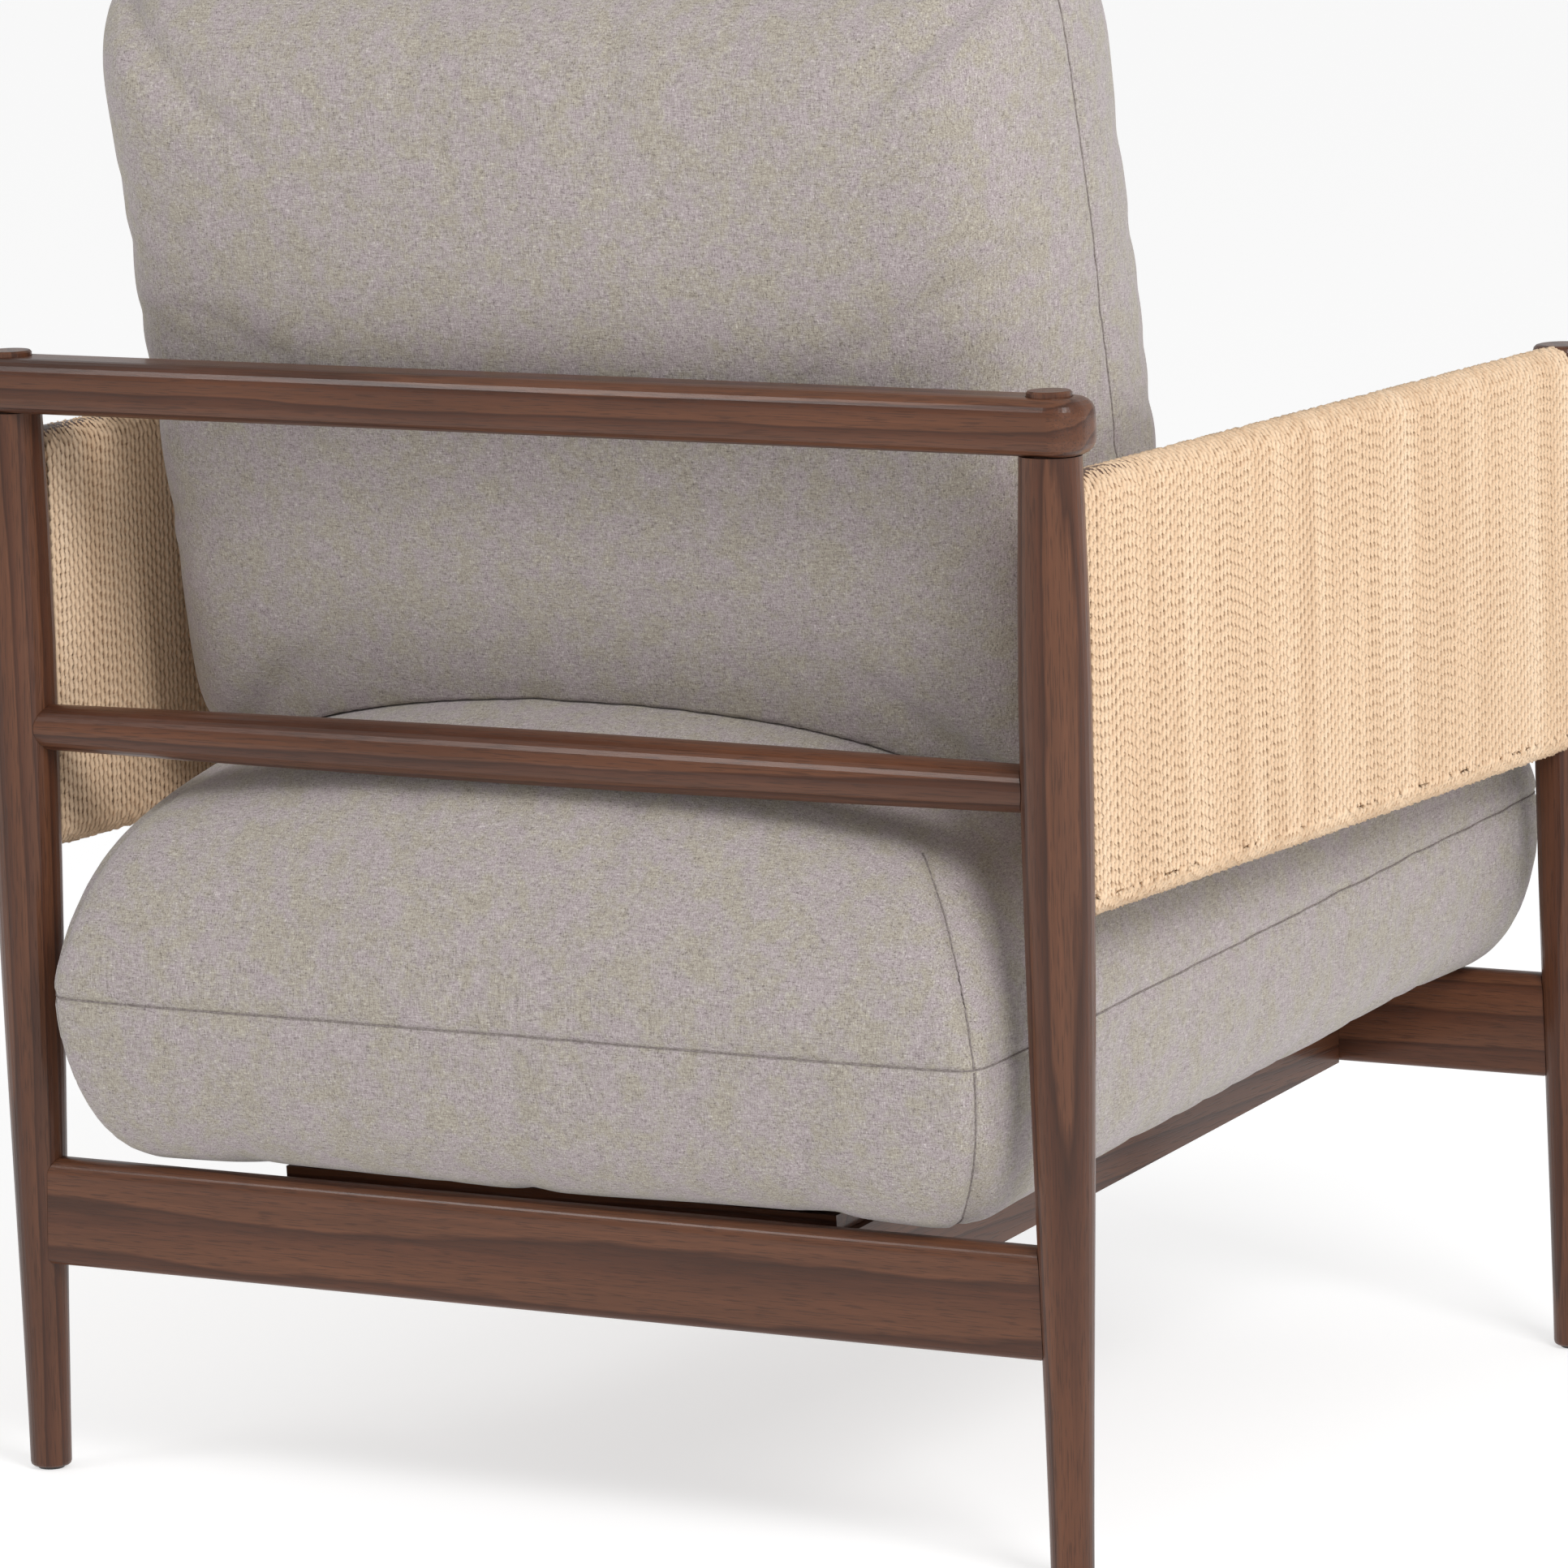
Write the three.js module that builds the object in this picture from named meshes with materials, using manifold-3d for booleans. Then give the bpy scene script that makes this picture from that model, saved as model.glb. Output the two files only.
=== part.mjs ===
// Lounge armchair: a turned wooden frame, arms wrapped in paper cord and two loose cushions.
// Millimetres, +Z up. The sitter faces -Y, so the sitter's right-hand side is -X.
// The origin is on the floor, under the middle of the frame.
import * as THREE from "three";
import { mergeVertices } from "three/addons/utils/BufferGeometryUtils.js";
import Module from "manifold-3d";

const wasm = await Module();
wasm.setup();

// Driving dimensions: the frame
const legSpacingX = 640; // between leg axes, side to side
const legSpacingY = 614; // between leg axes, front to back
const clearance = 0.3; // gap left wherever two pieces meet
const cutOverrun = 1; // of a cut past the face that it opens

const legFootRadius = 11.4;
const legBellyRadius = 19.1;
const legBellyHeight = 450;
const legTopRadius = 16.5;
const legLowerFullness = 1.35; // how late the leg swells on its way up to the belly
const legFootRounding = 2.5;
const legFootTaperTop = 30; // where the swell of the leg begins
const frontLegHeight = 580.5;
const frontLegTopRounding = 3.5;

const glideRadius = 8;
const glideThickness = 5;
const glideStandout = 1.5; // how far a glide lifts its leg off the floor
const glidePinRadius = 1.6;
const glidePinTop = 22;
const glideChamfer = 1;
const glidePinPoint = 2;

// Driving dimensions: the back
const topRailUnderside = 588;
const topRailThickness = 30;
const topRailDepth = 40;
const topRailOverhang = 23; // past the leg axis
const topRailEdgeRounding = 0.3 * topRailThickness;
const topRailCornerRadius = 17;
const throughTenonRadius = 12;
const throughTenonStandout = 3;
const throughTenonChamfer = 1;

const rodHeight = 415;
const rodMiddleRadius = 14.8;
const rodEndRadius = 12.3;
const rodTenonRadius = 0.65 * rodEndRadius;
const socketDepth = 12; // of every round or square tenon in a leg, past the leg's surface

// Driving dimensions: the seat frame
const rearSeatRailTop = 176;
const frontSeatRailTop = 217.5;
const seatRailHeight = 59;
const seatRailThickness = 20;
const seatRailTopRounding = 0.45 * seatRailThickness;
const seatRailLowerRounding = 0.2 * seatRailThickness;
const seatRailTenonThickness = 0.45 * seatRailThickness;
const seatRailTenonShoulder = 9; // above and below the tenon

const stretcherOffset = 177; // from the middle of the chair to a stretcher's outer face
const stretcherThickness = 20;
const stretcherTenonThickness = 0.45 * stretcherThickness;
const stretcherTenonShoulder = 8;
const stretcherTenonLength = 8;

const slatCount = 6;
const slatEndInset = 5; // from a stretcher's outer face to the slat's end
const slatWidth = 60;
const slatThickness = 10;
const slatEndMargin = 10; // from a seat rail to the first and last slat

const screwHeadRadius = 4;
const screwShankRadius = 2;
const screwLength = 32;
const screwSink = 0.2; // of the head below the top of its slat
const screwHeadRim = 0.4; // of the head, above its countersink

// Driving dimensions: the arms
const armTopDowelHeight = 565;
const armBottomDowelHeight = 360;
const armDrop = 4; // how much lower an arm is at the front leg than at the rear leg
const armDowelRadius = 10;
const armDowelTenonRadius = 0.7 * armDowelRadius;
const cordDiameter = 3.5;
const wrapEndInset = 13.5; // from the leg axis to the last turn of cord

// Driving dimensions: the cushions
const coverThickness = 2.5;
const coverFit = 0.6; // between a cover and the foam in it
const zipWidth = 10;
const cushionGap = 1; // between a cushion and what it leans on

const seatCushionSideInset = 30; // from the leg axes to the side seams
const seatCushionOverhang = 38; // of the front and rear seams past the leg axes
const seatCushionForward = 7.6; // from the middle of the deck, along the deck
const seatCushionSeamHeight = 98; // above the slats
const seatCushionShoulder = 84; // above the seam, where the border turns into the crown
const seatCushionRise = 168; // of the crown above the seam
const seatCushionCrownPower = [2.4, 4.5]; // a higher power keeps the crown's middle flatter, across and along
const seatCushionReach = 60; // of the rounded border, in from the seam
const seatCushionRoundness = 2.3; // 2 rounds the border as an ellipse, and more squares it
const seatCushionCorner = 45; // how square the corners are in plan
const seatCushionLift = 0.5; // clear of the slats and seat rails
const seatZipInset = 90; // from the rear seam, underneath
const seatZipLength = 300;
const zipSlotOverrun = 2; // of each zip's slot past the outside of its cover
const seatZipSlotRise = 10; // above the underside of the seat cushion
const backZipSlotRise = 120; // above the lower seam of the back cushion

const backCushionSideInset = 35; // from the leg axes to the side seams
const backCushionHeight = 472;
const backCushionThickness = 214;
const backCushionShoulder = 86; // from its middle plane, where the border turns into the crown
const backCushionSideReach = 55;
const backCushionEndReach = 85;
const backCushionRoundness = 2.6;
const backCushionCorner = 16;
const backCushionCrownPower = [2, 2];
const backCushionRecline = 11.5; // degrees from upright
const backCushionSink = 81; // of its lower seam below the top of the seat cushion
const backZipLength = 380;

// Facets
const roundSegments = 32;
const smallRoundSegments = 20;
const screwSegments = 10;
const dowelSegments = 24;
const wrapSegments = 10; // round each dowel's half of the wrap
const railCornerSegments = 6;
const railEdgeSegments = 5;
const roundingSteps = 3; // round a leg's foot or top
const rodSteps = 12; // along the back rod
const legSteps = 9; // up a leg's curve
const cushionBorderSteps = 5; // round a cushion's border, from the seam to the shoulder
const cushionCrownSteps = 3; // from the shoulder to the middle

// Derived places
const legX = legSpacingX / 2;
const rearY = legSpacingY / 2;
const frontY = -legSpacingY / 2;
const topRailTop = topRailUnderside + topRailThickness;
const legFootHeight = glideStandout;
const deckSlope = Math.atan2(frontSeatRailTop - rearSeatRailTop, legSpacingY);
const deckMiddleHeight = (frontSeatRailTop + rearSeatRailTop) / 2;
const seatRailInnerY = legSpacingY / 2 - seatRailThickness / 2;
const wrapRadius = armDowelRadius + cordDiameter;
const sides = [
  { name: "right", sign: -1 },
  { name: "left", sign: 1 },
];

// Materials
function material(colour, roughness, metalness = 0) {
  return new THREE.MeshStandardMaterial({ color: colour, roughness, metalness });
}
const walnut = () => material(0x5f3f30, 0.42);
const paperCord = () => material(0xdcb88c, 0.85);
const linen = () => material(0xa29a94, 0.95);
const foam = () => material(0xe9e1cc, 0.95);
const zipTape = () => material(0x8d857f, 0.8);
const zincedSteel = () => material(0xb8babc, 0.35, 0.9);
const nylon = () => material(0x2b2826, 0.6);

const chair = new THREE.Group();

function piece(name, solid, make, parent = chair) {
  const mesh = new THREE.Mesh(toGeometry(solid), make());
  mesh.name = name;
  parent.add(mesh);
  return mesh;
}

// Closed solids for joining and cutting
function toSolid(geometry) {
  const bare = geometry.clone();
  bare.deleteAttribute("normal");
  bare.deleteAttribute("uv");
  const merged = mergeVertices(bare, 1e-4);
  const corners = merged.index.array;
  const triangles = [];
  for (let i = 0; i < corners.length; i += 3) {
    const [a, b, c] = corners.slice(i, i + 3);
    if (a !== b && b !== c && c !== a) triangles.push(a, b, c);
  }
  return new wasm.Manifold(new wasm.Mesh({
    numProp: 3,
    vertProperties: new Float32Array(merged.attributes.position.array),
    triVerts: new Uint32Array(triangles),
  }));
}

function toGeometry(solid) {
  const { vertProperties, triVerts, numProp } = solid.getMesh();
  const geometry = new THREE.BufferGeometry();
  geometry.setAttribute("position", new THREE.BufferAttribute(new Float32Array(vertProperties), numProp));
  geometry.setIndex(new THREE.BufferAttribute(new Uint32Array(triVerts), 1));
  return geometry;
}

function box(x0, x1, y0, y1, z0, z1) {
  const geometry = new THREE.BoxGeometry(x1 - x0, y1 - y0, z1 - z0);
  geometry.translate((x0 + x1) / 2, (y0 + y1) / 2, (z0 + z1) / 2);
  return toSolid(geometry);
}

// A cylinder from one point to another.
function bar(radius, from, to, segments = smallRoundSegments) {
  const start = new THREE.Vector3(...from);
  const run = new THREE.Vector3(...to).sub(start);
  const geometry = new THREE.CylinderGeometry(radius, radius, run.length(), segments);
  geometry.translate(0, run.length() / 2, 0);
  const up = new THREE.Vector3(0, 1, 0);
  geometry.applyQuaternion(new THREE.Quaternion().setFromUnitVectors(up, run.normalize()));
  geometry.translate(start.x, start.y, start.z);
  return toSolid(geometry);
}

// A turned solid about Z. The profile is a list of [radius, height] from the lower end of the axis.
function turned(profile, segments = roundSegments) {
  const points = profile.map(([radius, height]) => new THREE.Vector2(radius, height));
  const geometry = new THREE.LatheGeometry(points, segments);
  geometry.rotateX(Math.PI / 2);
  return toSolid(geometry);
}

// A flat outline in Y and Z, extruded along X.
function slab(shape, x0, x1) {
  const settings = { depth: x1 - x0, bevelEnabled: false, curveSegments: railCornerSegments };
  const geometry = new THREE.ExtrudeGeometry(shape, settings);
  geometry.applyMatrix4(new THREE.Matrix4().makeBasis(
    new THREE.Vector3(0, 1, 0), new THREE.Vector3(0, 0, 1), new THREE.Vector3(1, 0, 0),
  ));
  geometry.translate(x0, 0, 0);
  return toSolid(geometry);
}

// Legs
function legRadius(height) {
  if (height > legBellyHeight) {
    const share = (height - legBellyHeight) / (topRailUnderside - legBellyHeight);
    return legTopRadius + (legBellyRadius - legTopRadius) * Math.cos((Math.PI / 2) * Math.min(share, 1));
  }
  const share = Math.max(height, 0) / legBellyHeight;
  const swell = Math.sin((Math.PI / 2) * share) ** legLowerFullness;
  return legFootRadius + (legBellyRadius - legFootRadius) * swell;
}

function legSide(from, to, steps, grow = 0) {
  const points = [];
  for (let step = 0; step <= steps; step += 1) {
    const height = from + ((to - from) * step) / steps;
    points.push([legRadius(height) + grow, height]);
  }
  return points;
}

// A quarter round from one radius and height to another, bulging outwards.
function rounding(radius, height, size, rising) {
  const points = [];
  for (let step = 0; step <= roundingSteps; step += 1) {
    const share = step / roundingSteps;
    const angle = (Math.PI / 2) * (rising ? share : 1 - share);
    const lift = rising ? Math.sin(angle) : 1 - Math.sin(angle);
    const inset = 1 - Math.cos(angle);
    points.push([radius - size * inset, height + size * lift]);
  }
  return points;
}

function rearLegBlank() {
  const shoulder = topRailUnderside - clearance;
  const top = topRailTop + throughTenonStandout;
  const foot = legRadius(legFootHeight);
  return turned([
    [0, legFootHeight],
    ...rounding(foot, legFootHeight, legFootRounding, false),
    ...legSide(legFootTaperTop, shoulder, legSteps),
    [throughTenonRadius, shoulder],
    [throughTenonRadius, top - throughTenonChamfer],
    [throughTenonRadius - throughTenonChamfer, top],
    [0, top],
  ]);
}

function frontLegBlank() {
  const shoulder = frontLegHeight - frontLegTopRounding;
  const foot = legRadius(legFootHeight);
  return turned([
    [0, legFootHeight],
    ...rounding(foot, legFootHeight, legFootRounding, false),
    ...legSide(legFootTaperTop, shoulder, legSteps).slice(0, -1),
    ...rounding(legRadius(shoulder), shoulder, frontLegTopRounding, true),
    [0, frontLegHeight],
  ]);
}

// The leg's outside, grown by the clearance, which shapes whatever butts against it.
function legCutter(x, y) {
  const below = -50;
  const above = frontLegHeight + 200;
  const cutter = turned([
    [0, below],
    [legRadius(0) + clearance, below],
    ...legSide(0, topRailUnderside, 2 * legSteps, clearance),
    [legTopRadius + clearance, above],
    [0, above],
  ]);
  return cutter.translate([x, y, 0]);
}

const legCutters = [];
for (const y of [rearY, frontY]) {
  for (const side of sides) legCutters.push(legCutter(side.sign * legX, y));
}

function fittedBetweenLegs(solid) {
  return legCutters.reduce((rest, cutter) => rest.subtract(cutter), solid);
}

// Arm dowels run from leg to leg and drop towards the front.
function armDowelEnds(middleHeight, x) {
  return {
    rear: [x, rearY, middleHeight + armDrop / 2],
    front: [x, frontY, middleHeight - armDrop / 2],
  };
}

function along(from, to, distance) {
  const start = new THREE.Vector3(...from);
  const direction = new THREE.Vector3(...to).sub(start).normalize();
  return start.addScaledVector(direction, distance).toArray();
}

function armDowelTenon(middleHeight, x, grow) {
  const { rear, front } = armDowelEnds(middleHeight, x);
  const rearInset = legRadius(middleHeight) - socketDepth - grow;
  return bar(armDowelTenonRadius + grow, along(rear, front, rearInset), along(front, rear, rearInset));
}

function armDowel(middleHeight, x) {
  const { rear, front } = armDowelEnds(middleHeight, x);
  const body = fittedBetweenLegs(bar(armDowelRadius, rear, front, dowelSegments));
  return body.add(armDowelTenon(middleHeight, x, 0));
}

// The mid rod, a slim spindle between the rear legs, with a round tenon at each end.
function rodTenons(grow) {
  const reach = legX - legRadius(rodHeight) + socketDepth + grow;
  return bar(rodTenonRadius + grow, [-reach, rearY, rodHeight], [reach, rearY, rodHeight]);
}

function backRod() {
  const profile = [[0, -legX]];
  for (let step = 0; step <= rodSteps; step += 1) {
    const place = (2 * step) / rodSteps - 1;
    const radius = rodEndRadius + (rodMiddleRadius - rodEndRadius) * Math.cos((Math.PI / 2) * place);
    profile.push([radius, place * legX]);
  }
  profile.push([0, legX]);
  const body = turned(profile).rotate([0, 90, 0]).translate([0, rearY, rodHeight]);
  return fittedBetweenLegs(body).add(rodTenons(0));
}

// The top rail: a bar with rounded edges and ends, which the rear legs' tenons pass through.
function backTopRail() {
  const r = topRailEdgeRounding;
  const halfLength = legX + topRailOverhang - r;
  const halfDepth = topRailDepth / 2 - r;
  const corner = topRailCornerRadius - r;
  const plan = new THREE.Shape();
  plan.absarc(halfLength - corner, -halfDepth + corner, corner, -Math.PI / 2, 0);
  plan.absarc(halfLength - corner, halfDepth - corner, corner, 0, Math.PI / 2);
  plan.absarc(-halfLength + corner, halfDepth - corner, corner, Math.PI / 2, Math.PI);
  plan.absarc(-halfLength + corner, -halfDepth + corner, corner, Math.PI, 1.5 * Math.PI);
  const geometry = new THREE.ExtrudeGeometry(plan, {
    depth: topRailThickness - 2 * r,
    bevelEnabled: true,
    bevelThickness: r,
    bevelSize: r,
    bevelSegments: railEdgeSegments,
    curveSegments: railCornerSegments,
  });
  geometry.translate(0, rearY, topRailUnderside + r);
  let rail = toSolid(geometry);
  for (const side of sides) {
    const x = side.sign * legX;
    const from = [x, rearY, topRailUnderside - cutOverrun];
    const to = [x, rearY, topRailTop + cutOverrun];
    rail = rail.subtract(bar(throughTenonRadius + clearance, from, to, roundSegments));
  }
  return rail;
}

// Front and rear seat rails: boards with a rounded top edge, tenoned into the legs.
function seatRailSection(y, top) {
  const half = seatRailThickness / 2;
  const upper = seatRailTopRounding;
  const lower = seatRailLowerRounding;
  const bottom = top - seatRailHeight;
  const section = new THREE.Shape();
  section.absarc(y + half - lower, bottom + lower, lower, -Math.PI / 2, 0);
  section.absarc(y + half - upper, top - upper, upper, 0, Math.PI / 2);
  section.absarc(y - half + upper, top - upper, upper, Math.PI / 2, Math.PI);
  section.absarc(y - half + lower, bottom + lower, lower, Math.PI, 1.5 * Math.PI);
  return section;
}

function seatRailTenons(y, top, grow) {
  const low = top - seatRailHeight + seatRailTenonShoulder - grow;
  const high = top - seatRailTenonShoulder + grow;
  const reach = legX - legRadius(low) + socketDepth + grow;
  const half = seatRailTenonThickness / 2 + grow;
  return box(-reach, reach, y - half, y + half, low, high);
}

function seatRail(y, top) {
  const board = fittedBetweenLegs(slab(seatRailSection(y, top), -legX, legX));
  const mortises = sides.map((side) => stretcherTenon(side.sign, clearance));
  return board.add(seatRailTenons(y, top, 0)).subtract(wasm.Manifold.union(mortises));
}

// Stretchers run front to back under the slats and hold the two seat rails apart.
function deckHeight(y) {
  return deckMiddleHeight - Math.tan(deckSlope) * y;
}

function stretcherSide(insetEnds, insetLow, insetHigh) {
  const y = seatRailInnerY - insetEnds;
  const low = (where) => deckHeight(where) - seatRailHeight + insetLow;
  const high = (where) => deckHeight(where) - slatThickness / Math.cos(deckSlope) - insetHigh;
  const side = new THREE.Shape();
  side.moveTo(y, low(y));
  side.lineTo(y, high(y));
  side.lineTo(-y, high(-y));
  side.lineTo(-y, low(-y));
  return side;
}

function stretcherTenon(sign, grow) {
  const shoulder = stretcherTenonShoulder - grow;
  const side = stretcherSide(-stretcherTenonLength - grow, shoulder, shoulder);
  const middle = sign * (stretcherOffset - stretcherThickness / 2);
  const half = stretcherTenonThickness / 2 + grow;
  return slab(side, middle - half, middle + half);
}

function stretcher(sign) {
  const outer = sign * stretcherOffset;
  const inner = sign * (stretcherOffset - stretcherThickness);
  const body = slab(stretcherSide(clearance, 0, clearance), Math.min(outer, inner), Math.max(outer, inner));
  return body.add(stretcherTenon(sign, 0)).subtract(screwHoles);
}

// The slatted deck lies in its own frame: its top is z = 0, and it slopes down to the rear.
const deck = new THREE.Group();
deck.position.z = deckMiddleHeight;
deck.rotation.x = -deckSlope;
deck.updateMatrix();

function slatPlace(index) {
  const reach = seatRailInnerY - slatEndMargin - slatWidth / 2;
  return reach * (1 - (2 * index) / (slatCount - 1));
}

const screwX = stretcherOffset - stretcherThickness / 2;

function screwShape(grow) {
  const coneTop = -screwSink - screwHeadRim - (Math.SQRT2 - 1) * grow;
  const coneFoot = coneTop - (screwHeadRadius - screwShankRadius);
  const top = grow > 0 ? cutOverrun : -screwSink;
  return turned([
    [0, -screwLength - grow],
    [screwShankRadius + grow, -screwLength - grow],
    [screwShankRadius + grow, coneFoot],
    [screwHeadRadius + grow, coneTop],
    [screwHeadRadius + grow, top],
    [0, top],
  ], screwSegments);
}

function screwHolesInDeck() {
  const holes = [];
  for (let index = 0; index < slatCount; index += 1) {
    for (const side of sides) {
      holes.push(screwShape(clearance).translate([side.sign * screwX, slatPlace(index), 0]));
    }
  }
  return wasm.Manifold.union(holes);
}

const deckHoles = screwHolesInDeck();
const screwHoles = deckHoles.transform(deck.matrix.toArray());

function slat(index) {
  const y = slatPlace(index);
  const half = stretcherOffset - slatEndInset;
  const board = box(-half, half, y - slatWidth / 2, y + slatWidth / 2, -slatThickness, 0);
  return board.subtract(deckHoles);
}

// The arm wrap: paper cord wound side by side over both dowels, as one flat sleeve open at its ends.
function stadium(shape, low, high, radius) {
  shape.absarc(0, high, radius, 0, Math.PI);
  shape.absarc(0, low, radius, Math.PI, 2 * Math.PI);
  shape.closePath();
  return shape;
}

function armWrap(x) {
  const low = armBottomDowelHeight;
  const high = armTopDowelHeight;
  const section = stadium(new THREE.Shape(), low, high, wrapRadius);
  section.holes.push(stadium(new THREE.Path(), low, high, armDowelRadius + clearance));
  const length = legSpacingY - 2 * wrapEndInset;
  const settings = { depth: length, bevelEnabled: false, curveSegments: wrapSegments };
  const geometry = new THREE.ExtrudeGeometry(section, settings);
  const drop = armDrop / legSpacingY;
  geometry.applyMatrix4(new THREE.Matrix4().set(
    1, 0, 0, x,
    0, 0, -1, length / 2,
    0, 1, -drop, (drop * length) / 2,
    0, 0, 0, 1,
  ));
  return fittedBetweenLegs(toSolid(geometry));
}

// Cushions. Two halves meet at a seam round the middle of the border. Each swells from the seam
// to a shoulder as a rounded edge, and on to a shallow crown in the middle.
function edgeFullness(distance, reach, roundness) {
  const share = 1 - Math.min(distance / reach, 1);
  return (1 - share ** roundness) ** (1 / roundness);
}

function cushionPlaces(half, reach, roundness) {
  const places = [];
  for (let step = 0; step < cushionBorderSteps; step += 1) {
    const turn = ((Math.PI / 2) * step) / cushionBorderSteps;
    places.push(half - reach * (1 - Math.cos(turn) ** (2 / roundness)));
  }
  for (let step = 0; step < cushionCrownSteps; step += 1) {
    places.push((half - reach) * (1 - step / cushionCrownSteps));
  }
  return [...places.map((place) => -place), 0, ...places.reverse()];
}

function cushionForm({ width, depth, reachX, reachY, roundness, corner, crownPower, up, down }) {
  const halfX = width / 2;
  const halfY = depth / 2;
  const acrossX = cushionPlaces(halfX, reachX, roundness);
  const acrossY = cushionPlaces(halfY, reachY, roundness);
  const cells = acrossX.length - 1;
  const point = (x, y, side) => {
    const u = Math.abs(x) / halfX;
    const v = Math.abs(y) / halfY;
    const edge = edgeFullness(halfX - Math.abs(x), reachX, roundness)
      * edgeFullness(halfY - Math.abs(y), reachY, roundness);
    const middle = (1 - u ** crownPower[0]) * (1 - v ** crownPower[1]);
    const height = side.shoulder * edge + (side.crown - side.shoulder) * middle;
    const pull = u + v > 0 ? Math.max(u, v) / (u ** corner + v ** corner) ** (1 / corner) : 1;
    return [x * pull, y * pull, side.sign * height];
  };
  const positions = [];
  const indices = [];
  for (const side of [{ sign: 1, ...up }, { sign: -1, ...down }]) {
    const first = positions.length / 3;
    for (const x of acrossX) {
      for (const y of acrossY) positions.push(...point(x, y, side));
    }
    for (let i = 0; i < cells; i += 1) {
      for (let j = 0; j < cells; j += 1) {
        const vertex = (di, dj) => first + (i + di) * (cells + 1) + j + dj;
        const ring = [vertex(0, 0), vertex(1, 0), vertex(1, 1), vertex(0, 1)];
        const [a, b, c, d] = side.sign > 0 ? ring : ring.reverse();
        const splitBD = ((i < cells / 2) !== (j < cells / 2)) === (side.sign > 0);
        indices.push(...(splitBD ? [a, b, d, b, c, d] : [a, b, c, a, c, d]));
      }
    }
  }
  const geometry = new THREE.BufferGeometry();
  geometry.setAttribute("position", new THREE.Float32BufferAttribute(positions, 3));
  geometry.setIndex(indices);
  return toSolid(geometry);
}

function insetForm(form, inset) {
  const half = ({ shoulder, crown }) => ({ shoulder: shoulder - inset, crown: crown - inset });
  return cushionForm({
    ...form,
    width: form.width - 2 * inset,
    depth: form.depth - 2 * inset,
    up: half(form.up),
    down: half(form.down),
  });
}

// A cushion is a cover, the foam in it and the zip that closes the slot in the cover.
// shape gives the cushion's solid, smaller all round by an inset. slot gives the zip's slot.
function addCushion(name, shape, slot) {
  const skin = shape(0).subtract(shape(coverThickness));
  piece(`${name}_cover`, skin.subtract(slot(clearance)), linen);
  piece(`${name}_zip`, skin.intersect(slot(0)), zipTape);
  piece(`${name}_core`, shape(coverThickness + coverFit), foam);
}

const seatFall = seatCushionSeamHeight - seatCushionLift;
const seatForm = {
  width: legSpacingX - 2 * seatCushionSideInset,
  depth: legSpacingY + 2 * seatCushionOverhang,
  reachX: seatCushionReach,
  reachY: seatCushionReach,
  roundness: seatCushionRoundness,
  corner: seatCushionCorner,
  crownPower: seatCushionCrownPower,
  up: { shoulder: seatCushionShoulder, crown: seatCushionRise },
  down: { shoulder: seatFall, crown: seatFall },
};

function ontoDeck(solid) {
  return solid.translate([0, -seatCushionForward, seatCushionSeamHeight]).transform(deck.matrix.toArray());
}

function seatShape(inset) {
  return ontoDeck(insetForm(seatForm, inset));
}

function seatZipSlot(grow) {
  const half = seatZipLength / 2 + grow;
  const rear = seatForm.depth / 2 - seatZipInset + grow;
  const front = rear - zipWidth - 2 * grow;
  return ontoDeck(box(-half, half, front, rear, -seatFall - zipSlotOverrun, -seatFall + seatZipSlotRise));
}

const backHalf = { shoulder: backCushionShoulder, crown: backCushionThickness / 2 };
const backForm = {
  width: legSpacingX - 2 * backCushionSideInset,
  depth: backCushionHeight,
  reachX: backCushionSideReach,
  reachY: backCushionEndReach,
  roundness: backCushionRoundness,
  corner: backCushionCorner,
  crownPower: backCushionCrownPower,
  up: backHalf,
  down: backHalf,
};

// The back cushion stands on the seat cushion and leans on the front of the top rail.
function ontoBack(solid) {
  const lean = THREE.MathUtils.degToRad(backCushionRecline);
  const leanHeight = topRailTop - topRailEdgeRounding;
  const leanFace = rearY - topRailDepth / 2 - cushionGap;
  const baseHeight = deckMiddleHeight + seatCushionSeamHeight + seatCushionRise - backCushionSink;
  const middleAtLean = leanFace - backCushionThickness / 2 / Math.cos(lean);
  const baseY = middleAtLean - (leanHeight - baseHeight) * Math.tan(lean);
  return solid
    .rotate([90, 0, 0])
    .translate([0, 0, backCushionHeight / 2])
    .rotate([-backCushionRecline, 0, 0])
    .translate([0, baseY, baseHeight]);
}

function backShape(inset) {
  return ontoBack(insetForm(backForm, inset)).subtract(seatShape(0).translate([0, 0, cushionGap + inset]));
}

function backZipSlot(grow) {
  const half = backZipLength / 2 + grow;
  const low = -backForm.depth / 2 - zipSlotOverrun;
  return ontoBack(box(-half, half, low, low + backZipSlotRise, -zipWidth / 2 - grow, zipWidth / 2 + grow));
}

// Foot glides, each knocked up into the foot of its leg
function glide() {
  return turned([
    [0, 0],
    [glideRadius - glideChamfer, 0],
    [glideRadius, glideChamfer],
    [glideRadius, glideThickness],
    [glidePinRadius, glideThickness],
    [glidePinRadius, glidePinTop - glidePinPoint],
    [0, glidePinTop],
  ], smallRoundSegments);
}

function glideHole() {
  return turned([
    [0, -cutOverrun],
    [glideRadius + clearance, -cutOverrun],
    [glideRadius + clearance, glideThickness + clearance],
    [glidePinRadius + clearance, glideThickness + clearance],
    [glidePinRadius + clearance, glidePinTop + clearance],
    [0, glidePinTop + clearance],
  ], smallRoundSegments);
}

// The assembly
const armDowelHeights = { top: armTopDowelHeight, bottom: armBottomDowelHeight };

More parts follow.
